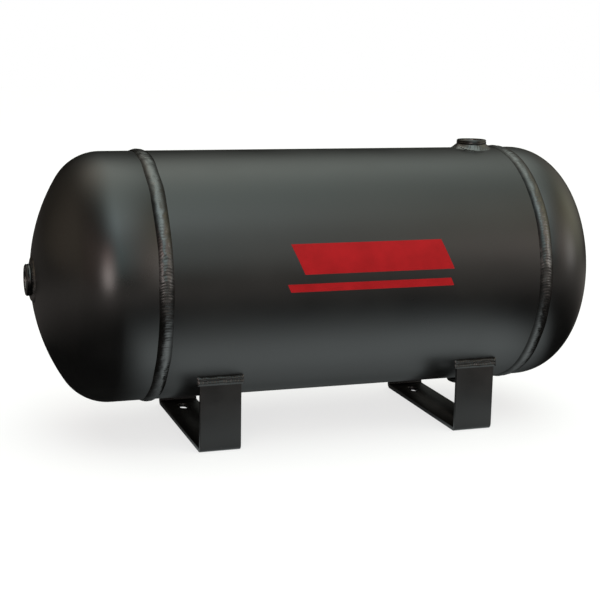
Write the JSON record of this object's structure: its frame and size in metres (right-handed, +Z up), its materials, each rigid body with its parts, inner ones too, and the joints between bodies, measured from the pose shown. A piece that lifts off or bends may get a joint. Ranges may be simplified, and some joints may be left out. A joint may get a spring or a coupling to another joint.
{
  "type": "air receiver tank",
  "caption": "Horizontal steel air receiver with dished heads, threaded ports on top, below and at both ends, and bent strip feet with bolt holes.",
  "frame": {"origin": "on the ground plane under the feet, below the middle of the tank's length and width", "axes": "+X along the tank towards the end nearer the top and drain ports, +Y towards the rear, +Z up"},
  "size_m": [0.4324, 0.183, 0.2133],
  "materials": {
    "tank_paint": "satin",
    "weld_paint": "satin",
    "bung_paint": "satin",
    "foot_paint": "satin",
    "stripe_film": "gloss"
  },
  "bodies": {
    "root": {"barrel_shell": "tank_paint", "left_head": "tank_paint", "right_head": "tank_paint", "left_girth_weld": "weld_paint", "right_girth_weld": "weld_paint", "seam_weld": "weld_paint", "left_end_bung": "bung_paint", "right_end_bung": "bung_paint", "top_port_bung": "bung_paint", "drain_port_bung": "bung_paint", "left_end_bung_weld": "weld_paint", "right_end_bung_weld": "weld_paint", "top_port_weld": "weld_paint", "drain_port_weld": "weld_paint", "left_foot": "foot_paint", "right_foot": "foot_paint", "left_foot_front_weld": "weld_paint", "left_foot_rear_weld": "weld_paint", "right_foot_front_weld": "weld_paint", "right_foot_rear_weld": "weld_paint", "broad_stripe": "stripe_film", "narrow_stripe": "stripe_film"}
  },
  "joints": []
}
